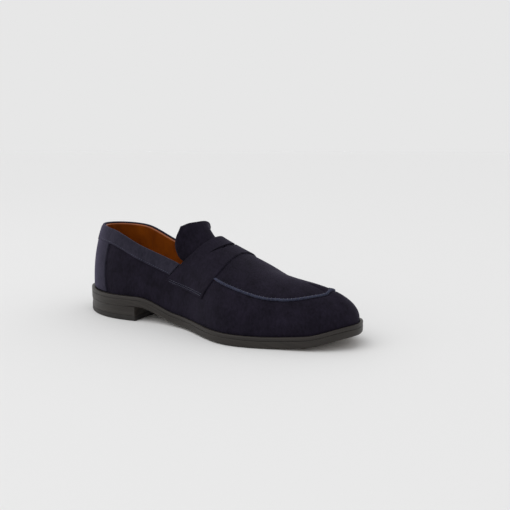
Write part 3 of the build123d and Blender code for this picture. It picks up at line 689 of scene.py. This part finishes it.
def ring_faces(n, m, closed):
    """Quads of n columns round by m levels; closed joins the last level to the first."""
    index = np.arange(n * m).reshape(n, m)
    around = np.roll(index, -1, 0)
    last = m if closed else m - 1
    j = np.arange(last)
    k = (j + 1) % m
    return np.stack([index[:, j], index[:, k], around[:, k], around[:, j]], -1).reshape(-1, 4)


def swept_piece(name, grid, run, material, nodes, closed=False, merge=0.004, sharp=50):
    """Piece from levels of points round an outline, mapped by run along it and distance down its section."""
    down = running(grid)
    uv = np.stack([np.broadcast_to(run[:, None], down.shape), down], -1).reshape(-1, 2)
    faces = ring_faces(len(grid), grid.shape[1], closed)
    return piece(name, grid.reshape(-1, 3), faces, material, nodes, uv=uv, merge=merge, sharp=sharp)


def build_welt():
    """Welt: waxed strip standing out from the upper, hollowed along its inner side."""
    reach = profile(SOLE_RING[:, 0], WELT_REACH) + 0.25
    low, top = OUTSOLE_THICK, OUTSOLE_THICK + WELT_THICK
    levels = [(reach, low + 0.1), (reach, top - 1.7), (.92 * reach, top - 1.3), (.82 * reach, top - 0.4),
              (.70 * reach, top - 0.04), (.5 * reach, top), (.35 * reach, top),
              (0.5, top - 0.10), (0.22, top - 0.28), (0.08, top - 0.55), (0.05, top - 1.0), (0.05, top - 1.9),
              (0.05, low + 0.6), (0.09, low + 0.3), (0.22, low + 0.12), (0.8, low + 0.08)]
    grid = swept(SOLE_RING, SOLE_OUT, levels, sole_bottom)
    swept_piece("welt_strip", grid, SOLE_RUN, "welt_leather", ["welt"], closed=True, merge=0.0)


def build_outsole():
    """Outsole: waxed edge with a bevelled lower corner, and a plain leather underside."""
    top = OUTSOLE_THICK - GAP
    bevel = profile(SOLE_RING[:, 0], SOLE_BEVEL, flat=True)
    levels = [(2.5, top), (0.6, top), (0.20, top - 0.08), (0.06, top - 0.22), (0.0, top - 0.5),
              (0.0, top - 1.6), (0.0, top - 2.8), (0.0, 2.2), (0.05 * bevel, 1.5), (0.2 * bevel, 1.05),
              (0.55 * bevel, 0.6), (0.95 * bevel, 0.25), (1.5 * bevel, 0.06), (2.4 * bevel + .3, 0.0)]
    middle = np.column_stack([np.clip(SOLE_RING[:, 0], -112, 105), np.full(len(SOLE_RING), 1.0)])
    grid = block(SOLE_RING, SOLE_OUT, levels, middle, (6, 14), sole_bottom)
    obj = swept_piece("outsole_body", grid, SOLE_RUN, "sole_leather", ["outsole"])
    obj.data.materials.append(MATERIALS["sole_bottom"])
    for face in obj.data.polygons:
        if face.normal.z < -0.9:
            face.material_index = 1


def heel_outline():
    """Plan outline of the heel: the sole's outline behind the breast, and the hollow breast."""
    ring = RING[::3]
    back = ring[ring[:, 0] < HEEL_FRONT - 0.6]
    start, end = back[0], back[-1]
    half = (end[1] - start[1]) / 2
    y = np.linspace(end[1], start[1], 34)[1:-1]
    hollow = HEEL_HOLLOW * (1 - ((y - (start[1] + end[1]) / 2) / half) ** 2)
    breast = np.column_stack([HEEL_FRONT - hollow, y])
    return np.concatenate([back, breast])


def heel_piece(name, levels, material, nodes):
    """Closed block swept round the heel's outline."""
    line = heel_outline()
    grid = block(line, outward(line), levels, np.array([[HEEL_MIDDLE, 0.0]]), (5, 5), np.zeros_like)
    swept_piece(name, grid, running(line), material, nodes, sharp=40)


def build_heel():
    """Stacked leather heel, slightly hollow in profile, over a rubber top piece."""
    low, high = TOP_PIECE_THICK + 0.05, HEEL_HEIGHT - 0.05
    lift = (HEEL_HEIGHT - TOP_PIECE_THICK) / LIFT_COUNT
    joints = [TOP_PIECE_THICK + lift * i for i in range(1, LIFT_COUNT)]
    heights = [np.linspace(low, high, 22)] + [joint + np.array([-.22, -.1, 0, .1, .22]) for joint in joints]
    levels = []
    for height in np.unique(np.round(np.concatenate(heights), 3))[::-1]:
        waist = HEEL_WAIST * math.sin(PI * ((height - low) / (high - low))) ** 2
        groove = sum(JOINT_DEPTH * math.exp(-((height - joint) / JOINT_WIDTH) ** 2) for joint in joints)
        corner = CORNER_DEPTH * max(0.0, 1 - (height - low) / CORNER_HEIGHT) ** 2
        levels.append((0.05 + waist + groove + corner, float(height)))
    lifts = [f"heel_lift_{i}" for i in range(1, LIFT_COUNT + 1)]
    heel_piece("heel_stack", levels, "sole_leather", lifts)
    top = TOP_PIECE_THICK - 0.04
    levels = [(0.9, top), (0.40, top - 0.04), (0.16, top - 0.2), (0.08, top - 0.5), (0.05, 3.2),
              (0.03, 1.6), (0.05, 0.9), (0.2, 0.4), (0.6, 0.12), (1.3, 0.0)]
    heel_piece("heel_rubber", levels, "rubber_heel", ["heel_top_piece"])


# ---------------- the upper

STITCH_PITCH = 3.5                # the apron's hand stitches, mm apart
SEAM_W = np.linspace(-SEAM_REAR, SEAM_REAR, 1201)
SEAM_RUN = running(base(SEAM_W, seam_t(SEAM_W)))
SEAM_GROOVE = (0.6, 1.9, 0.75)    # depth, distance under the wall's top edge, and width
WALL_PUCKER, APRON_PUCKER = (0.35, 2.6), (0.30, 2.4)  # depth and reach beside the seam
APRON_INSET = 0.35                # the apron starts this far above the seam
PINCH = 0.30                      # share of the raised edge's height taken at each stitch
WALL_COLUMNS = 1100
FOOT_DROPS = (2.6, 1.0)           # the wall goes on this far down behind the welt
RIDGE_HALF = 1.3                  # half the width of the apron's raised edge
RIDGE_CROWN = 1.2                 # and its height


def seam_phase(w):
    """Position along the apron's seam, in stitches."""
    return np.interp(w, SEAM_W, SEAM_RUN) / STITCH_PITCH


def t_per_mm(w, t):
    """Change of height parameter for one millimetre along the surface."""
    return 2 * STEP / np.linalg.norm(base(w, t + STEP) - base(w, t - STEP), axis=-1)


def puckers(w, distance, depth, width):
    """Dents that the hand stitches pull into the leather beside the seam."""
    fade = np.clip((SEAM_REAR - .02 - np.abs(w)) / .02, 0, 1)
    return depth * fade * np.exp(-(distance / width) ** 2) * (0.5 + 0.5 * np.cos(2 * PI * seam_phase(w)))


def build_wall():
    """The wall: one piece of suede round the whole foot, lasted in behind the welt."""
    w = np.linspace(-1, 1, WALL_COLUMNS, endpoint=False)[:, None]
    near_top = np.array([.985, .9895, .993, .996, .998, .9993, 1.0])
    q = np.concatenate([np.linspace(0, 1, 58)[:-1] * near_top[0], near_top])
    t = (top_t(w) - 0.004) * q[None, :]
    w = np.broadcast_to(w, t.shape)
    run = running(base(w, t))
    from_top = run[:, -1:] - run
    depth, place, width = SEAM_GROOVE
    along_seam = np.clip((SEAM_REAR - .012 - np.abs(w)) / .01, 0, 1)
    off = rounded_face(from_top, UPPER, 0.8)
    off = off - puckers(w, from_top, *WALL_PUCKER)
    off = off - depth * along_seam * np.exp(-((from_top - place) / width) ** 2)
    foot_w = np.broadcast_to(w[:, :1], (WALL_COLUMNS, len(FOOT_DROPS)))
    sides = []
    for foot_off, wall_off in ((-0.15, off), (UPPER[0], UPPER[0])):
        foot = skin(foot_w, np.zeros_like(foot_w), foot_off)
        foot[..., 2] -= FOOT_DROPS
        sides.append(np.concatenate([foot, skin(w, t, wall_off)], 1))
    vertices, faces = shell(*sides, wrap=True)
    piece("wall_suede", vertices, faces, "suede_navy", ["vamp_wall"])


def build_apron():
    """The apron: suede top of the shoe inside the raised seam."""
    w = np.linspace(-SEAM_REAR, SEAM_REAR, 641)[:, None]
    low = seam_t(w) + APRON_INSET * t_per_mm(w, seam_t(w))
    q = np.concatenate([np.array([0, .004, .012, .025, .045]), np.linspace(.07, 1, 44)])[None, :]
    t = np.minimum(low + (1 - low) * q, 1.0)
    w = np.broadcast_to(w, t.shape)
    off = -puckers(w, running(base(w, t)), *APRON_PUCKER)
    vertices, faces = shell(skin(w, t, off), skin(w, t, UPPER[0]), last_side=False)
    piece("apron_suede", vertices, faces, "suede_navy", ["apron"], merge=0.02)


def ridge_height(q):
    """Section of the raised edge: steep towards the wall (q = -1), soft towards the apron (q = 1)."""
    steep = np.sqrt(np.clip(1 - ((q + .35) / .65) ** 2, 0, 1))
    soft = np.cos(np.clip((q + .35) / 1.35, 0, 1) * PI / 2) ** 1.6
    return RIDGE_CROWN * np.where(q < -.35, steep, soft)


def build_ridge():
    """Raised edge of the apron, pinched by hand stitches, and the stitches over it."""
    w = np.linspace(-RIDGE_END, RIDGE_END, 1500)[:, None]
    q = np.array([-1, -.985, -.94, -.86, -.74, -.58, -.35, -.1, .15, .4, .65, .85, 1.0])[None, :]
    middle = seam_t(w)
    t = middle + q * RIDGE_HALF * t_per_mm(w, middle)
    w = np.broadcast_to(w, t.shape)
    pinch = 1 - PINCH * (0.5 + 0.5 * np.cos(2 * PI * seam_phase(w))) ** 3
    fade = np.clip((RIDGE_END - np.abs(w)) / .004, 0, 1) ** 0.5
    outer = skin(w, t, 0.02 + ridge_height(q) * pinch * fade)
    vertices, faces = shell(outer, skin(w, t, -0.3))
    # The raised edge gets the lighter suede, whose lighter base colour is a painted highlight.
    piece("apron_edge", vertices, faces, "suede_edge", ["apron_ridge"], slot="suede_collar")
    first, last = math.ceil(seam_phase(-STITCHES_END)), math.floor(seam_phase(STITCHES_END))
    centres = np.interp(np.arange(first, last + 1) * STITCH_PITCH, SEAM_RUN, SEAM_W)
    along = np.linspace(-.92, 1.25, 9)
    lean = np.linspace(-.35, .35, len(along))
    paths = []
    for centre in centres:
        step = np.interp(centre, SEAM_W[:-1], np.diff(SEAM_W) / np.diff(SEAM_RUN))
        ws = centre + lean * step
        ts = seam_t(ws) + along * RIDGE_HALF * t_per_mm(ws, seam_t(ws))
        sunk = 0.55 * np.clip(np.abs(along - .16) - .85, 0, 1)
        paths.append(skin(ws, ts, ridge_height(np.clip(along, -1, 1)) * 0.70 + 0.26 - sunk))
    thread_piece("apron_hand_stitches", paths, radius=0.26, node="apron_stitches")


def saddle_w(k, t):
    """Row parameter of the saddle at height t: k from its rear to its front edge."""
    rear, front = profile(t, SADDLE_REAR, flat=True), profile(t, SADDLE_FRONT, flat=True)
    return rear + (front - rear) * k


def saddle_points(k, q):
    """Row and height parameters of the saddle, q across the instep."""
    low = SADDLE_LOW_REAR + (SADDLE_LOW_FRONT - SADDLE_LOW_REAR) * k
    t = 1 - np.abs(q) * (1 - low)
    return saddle_w(k, t) * np.where(q < 0, -1, 1), t


def build_saddle():
    """Full saddle over the instep, with its crescent slot, and the stitches at its ends."""
    q = (2 * steps_with_edges(300, 170, OVERLAY_ROUND) - 1)[:, None]
    k = steps_with_edges(44, 40, OVERLAY_ROUND)[None, :]
    w, t = saddle_points(k, q)
    obj = panel("saddle_suede", w, t, OVERLAY, OVERLAY_ROUND, 0.02, "suede_navy", "saddle_strap", merge=0.001)
    cut_slot(obj)
    paths = []
    for inset in (2.2, 3.9):
        for side in (-1, 1):
            ks = np.linspace(.05, .95, 130)
            ws, ts = saddle_points(ks, side * np.ones_like(ks))
            ts = ts + inset * t_per_mm(ws, ts)
            paths += stitches_along(saddle_w(ks, ts) * side, ts, OVERLAY[1], pitch=2.3, length=1.6)
    thread_piece("saddle_row_stitches", paths, radius=0.24, node="saddle_stitches")


STITCH_POINTS, STITCH_SINK = 5, 0.16  # points of one stitch, and how far its ends sink


def stitches_along(w, t, off, pitch, length):
    """Straight stitches sunk at their ends, laid along a line of the form."""
    run = running(base(w, t))
    share = np.linspace(0, 1, STITCH_POINTS)
    found = []
    for start in np.arange(0.2, run[-1] - length, pitch):
        s = start + length * share
        sink = STITCH_SINK * np.abs(2 * share - 1) ** 3
        found.append(skin(np.interp(s, run, w), np.interp(s, run, t), off + 0.10 - sink))
    return found


def cut_slot(obj):
    """Cuts the crescent slot through the saddle."""
    y = np.linspace(-SLOT_HALF_LENGTH, SLOT_HALF_LENGTH, 61)
    bow = 1 - (y / SLOT_HALF_LENGTH) ** 2
    rear, front = (SLOT_BOW - SLOT_WIDTH / 2) * bow, (SLOT_BOW + SLOT_WIDTH / 2) * bow
    outline = np.concatenate([np.column_stack([rear, y]), np.column_stack([front, y])[-2:0:-1]])
    normal = np.array([SLOT_SLOPE, 0, 1.0]) / math.hypot(SLOT_SLOPE, 1)
    forward = np.array([1.0, 0, -SLOT_SLOPE]) / math.hypot(SLOT_SLOPE, 1)
    plane = np.array(SLOT_CENTRE) + outline[:, :1] * forward + outline[:, 1:] * np.array([0, 1.0, 0])
    n = len(outline)
    vertices = np.concatenate([plane - CUTTER_HALF * normal, plane + CUTTER_HALF * normal])
    faces = [list(range(n))[::-1], list(range(n, 2 * n))]
    faces += [[i, (i + 1) % n, n + (i + 1) % n, n + i] for i in range(n)]
    cutter = new_object("slot_cutter", new_mesh("slot_cutter", vertices, faces))
    turn_outward(cutter.data)
    turn_outward(obj.data)
    modifier = obj.modifiers.new("slot", "BOOLEAN")
    modifier.operation, modifier.solver, modifier.object = "DIFFERENCE", "EXACT", cutter
    bpy.context.view_layer.update()
    result = bpy.data.meshes.new_from_object(obj.evaluated_get(bpy.context.evaluated_depsgraph_get()))
    obj.modifiers.clear()
    obj.data = result
    result.set_sharp_from_angle(angle=math.radians(50))
    bpy.data.objects.remove(cutter)


def build_saddle_lining():
    """Suede under the saddle, seen through the slot and in front of the tongue."""
    q, k = np.linspace(-1, 1, 121)[:, None], np.linspace(0, 1, 15)[None, :]
    side = np.where(q < 0, -1, 1)
    t = np.ones((q.size, k.size))
    for _ in range(3):            # w and t depend on each other, and settle in three rounds
        rear = profile(t, SADDLE_REAR, flat=True) - 0.008
        w = rear + (UNDERLAY_FRONT - rear) * k
        edge = top_t(w * side) + 0.02
        t = 1 - np.abs(q) * (1 - edge)
    vertices, faces = shell(skin(w * side, t, UPPER[1]), skin(w * side, t, UPPER[0]))
    piece("saddle_underlay", vertices, faces, "suede_navy", ["saddle_lining"], merge=0.001)


def collar_low(w):
    """Height parameter of the collar band's lower edge."""
    flat = (np.ravel(w) + 1) % 2 - 1
    return np.interp(flat, COLLAR_W, COLLAR_T).reshape(np.shape(w))


COLLAR_W = np.concatenate([np.linspace(-1, -.54, 90), np.linspace(.54, 1, 90)])
COLLAR_T = height_t(COLLAR_W, lambda x: topline(x) - COLLAR_WIDTH)


def collar_grid(v, q):
    """Row and height parameters of the collar band, whose ends follow the saddle's rear edge."""
    far = np.full(np.broadcast_shapes(v.shape, q.shape), TOPLINE_FRONT)
    for _ in range(3):            # again, the two settle in three rounds
        turn = 1 - np.abs(v) * (1 - far)
        w = np.where(v < 0, -turn, turn)
        low, high = collar_low(w), top_t(w) - 0.003
        t = low + (high - low) * q
        far = profile(t, SADDLE_REAR, flat=True) + 0.003
    return w, t


def build_collar():
    """Collar band round the foot opening, softly padded, with its stitches."""
    v = (2 * steps_with_edges(700, 330, 0.8) - 1)[:, None]
    q = steps_with_edges(20, COLLAR_WIDTH, OVERLAY_ROUND)[None, :]
    w, t = collar_grid(v, q)
    puff = COLLAR_PUFF * np.sin(PI * np.clip(q, 0, 1)) ** 0.8
    panel("collar_suede", w, t, OVERLAY, OVERLAY_ROUND, -0.02, "suede_collar", "collar_band", puff,
          merge=0.001)
    rows = np.linspace(-.985, .985, 2400)
    ws, ts = collar_grid(rows, np.full(rows.shape, COLLAR_STITCHES))
    paths = stitches_along(ws, ts, OVERLAY[1] + 0.04, pitch=2.4, length=1.7)
    thread_piece("collar_row_stitches", paths, radius=0.22, node="collar_stitches")


BACKSTAY_HALF, TAB_HALF = .17, .035  # half widths, as shares of one side of the shoe


def build_backstay():
    """Strip over the heel's back seam, under the collar band, and the tab at its top."""
    v = (2 * steps_with_edges(120, 66, OVERLAY_ROUND) - 1)[:, None]
    q = steps_with_edges(44, 45, OVERLAY_ROUND)[None, :]
    w = 1 + BACKSTAY_HALF * v * (1 + 0.05 * (1 - q) ** 3)
    low = 0.004
    t = low + (collar_low(w) + 0.002 - low) * q
    panel("backstay_suede", w, t, OVERLAY, OVERLAY_ROUND, -0.02, "suede_collar", "backstay")
    v = (2 * steps_with_edges(26, 22, TAB_ROUND) - 1)[:, None]
    q = steps_with_edges(20, 15, TAB_ROUND)[None, :]
    w = 1 + TAB_HALF * v * (1 - .12 * q)
    low = collar_low(w) - 0.03
    t = low + (top_t(w) - 0.03 - low) * q
    panel("tab_suede", w, t, TAB, TAB_ROUND, 0.5, "suede_collar", "heel_tab", slot="suede_navy")


def tongue_face(u, v, depth):
    """The tongue's points at a depth under its outer face."""
    p = net_grid(TONGUE_OUTER, TONGUE_INNER, u, v)
    n = np.cross(np.gradient(p, axis=0), np.gradient(p, axis=1))
    n /= np.linalg.norm(n, axis=2)[..., None]
    n *= np.sign(n[..., 2:3].mean())
    return p - n * np.asarray(depth)[..., None] + np.array([0, TONGUE_SIDE, 0])


def build_tongue():
    """Suede tongue, standing up behind the saddle, and its lining."""
    u, v = np.linspace(0, 1, 90), np.linspace(0, 1, 110)
    depth = -rounded_face(edge_distance(tongue_face(u, v, 0.0)), (0, 0), OVERLAY_ROUND)
    vertices, faces = shell(tongue_face(u, v, depth), tongue_face(u, v, TONGUE_THICK))
    piece("tongue_suede", vertices, faces, "suede_navy", ["tongue"])
    u, v = np.linspace(0, .988, 60), np.linspace(.012, .988, 60)
    low = TONGUE_THICK + 0.02
    vertices, faces = shell(tongue_face(u, v, low), tongue_face(u, v, low + TONGUE_LINING_THICK))
    piece("tongue_back", vertices, faces, "lining_tan", ["tongue_lining"])


LINING_FACE = -3.2                # visible face of the linings
LINING_ENDS = 0.80                # the heel's lining meets the quarters' here


def lining_piece(name, w, face, node):
    """Tan lining from inside the welt to just under the wall's top edge."""
    w, low = w[:, None], .045
    t = low + (top_t(w) - 0.008 - low) * steps_with_edges(40, 60, 0.7)[None, :]
    w = np.broadcast_to(w, t.shape)
    drop = -rounded_face(edge_distance(base(w, t)), (0, 0), 0.7)
    vertices, faces = shell(skin(w, t, UPPER[0] - 0.04), skin(w, t, face + drop))
    piece(name, vertices, faces, "lining_tan", [node])


def build_lining():
    """Tan linings of the heel and the quarters."""
    w = np.linspace(LINING_ENDS, 2 - LINING_ENDS, 200)
    lining_piece("heel_lining_leather", w, LINING_FACE, "heel_lining")
    for name, side in (("outer", -1), ("inner", 1)):
        w = np.linspace(.36, LINING_ENDS + .004, 260) * side
        lining_piece(f"quarter_lining_leather_{name}", w[::side], LINING_FACE - .1, f"quarter_lining_{name}")


build_welt()
build_outsole()
build_heel()
build_wall()
build_apron()
build_ridge()
build_saddle_lining()
build_saddle()
build_collar()
build_backstay()
build_tongue()
build_lining()


# ---------------- floor, light and camera

def floor_material():
    """Plain pale studio paper."""
    n = Nodes("studio_floor", 0.9, Specular_IOR_Level=0.1)
    grain = n.noise(n.place(), 900, detail=2.0)
    n.bump((grain, 0.02, 0.1))
    return n.colour(n.ramp(grain, [(0.2, (0.800, 0.800, 0.800)), (0.8, (0.806, 0.806, 0.806))]))


FLOOR_HALF = 60.0                 # metres
floor_mesh = bpy.data.meshes.new("floor")
corners = [(FLOOR_HALF * x, FLOOR_HALF * y, 0) for x, y in ((-1, -1), (1, -1), (1, 1), (-1, 1))]
floor_mesh.from_pydata(corners, [], [(0, 1, 2, 3)])
floor_mesh.materials.append(floor_material())
floor = new_object("floor", floor_mesh)

BACKGROUND = 0.799                # linear grey of the backdrop
scene = bpy.context.scene
world = bpy.data.worlds.new("studio")
scene.world = world
world.use_nodes = True
backdrop = world.node_tree.nodes["Background"]
backdrop.inputs["Color"].default_value = (BACKGROUND, BACKGROUND, BACKGROUND, 1)
backdrop.inputs["Strength"].default_value = 1.0


def direction(azimuth, elevation):
    """Unit vector at an azimuth in degrees, from the outer side (-Y) towards the toe, and an elevation."""
    a, e = math.radians(azimuth), math.radians(elevation)
    return Vector((math.sin(a) * math.cos(e), -math.cos(a) * math.cos(e), math.sin(e)))


def looking_back(name, data, way):
    """Light or camera that looks against the given way."""
    obj = new_object(name, data)
    obj.rotation_mode = "QUATERNION"
    obj.rotation_quaternion = way.to_track_quat("Z", "Y")
    return obj


def soft_sun(name, strength, angle, azimuth, elevation):
    """Broad soft light from a direction."""
    light = bpy.data.lights.new(name, "SUN")
    light.energy = strength
    light.angle = math.radians(angle)
    looking_back(name, light, direction(azimuth, elevation))


def softbox(name, place, target, size, power):
    """Rectangular soft box that faces a target."""
    light = bpy.data.lights.new(name, "AREA")
    light.shape = "RECTANGLE"
    light.size, light.size_y = size
    light.energy = power
    looking_back(name, light, Vector(place) - Vector(target)).location = place


soft_sun("key", strength=0.66, angle=50, azimuth=-35, elevation=62)
softbox("side_box", place=(-0.9, -1.1, 0.9), target=(0, 0, 0.04), size=(0.9, 0.9), power=2.0)

CAMERA_TARGET = Vector((-0.1679, 0.3461, 0.0))
CAMERA_DISTANCE = 0.9781
CAMERA_ROLL = 0.09                # degrees
back = direction(azimuth=31.35, elevation=9.66)
camera_data = bpy.data.cameras.new("camera")
camera_data.sensor_width = 36.0
camera_data.lens = 43.97
camera_data.shift_x = 0.0104
camera_data.shift_y = 0.0018
camera = looking_back("camera", camera_data, back)
camera.location = CAMERA_TARGET + back * CAMERA_DISTANCE
camera.rotation_quaternion = camera.rotation_quaternion @ Quaternion((0, 0, 1), math.radians(CAMERA_ROLL))
scene.camera = camera
scene.view_settings.view_transform = "Standard"
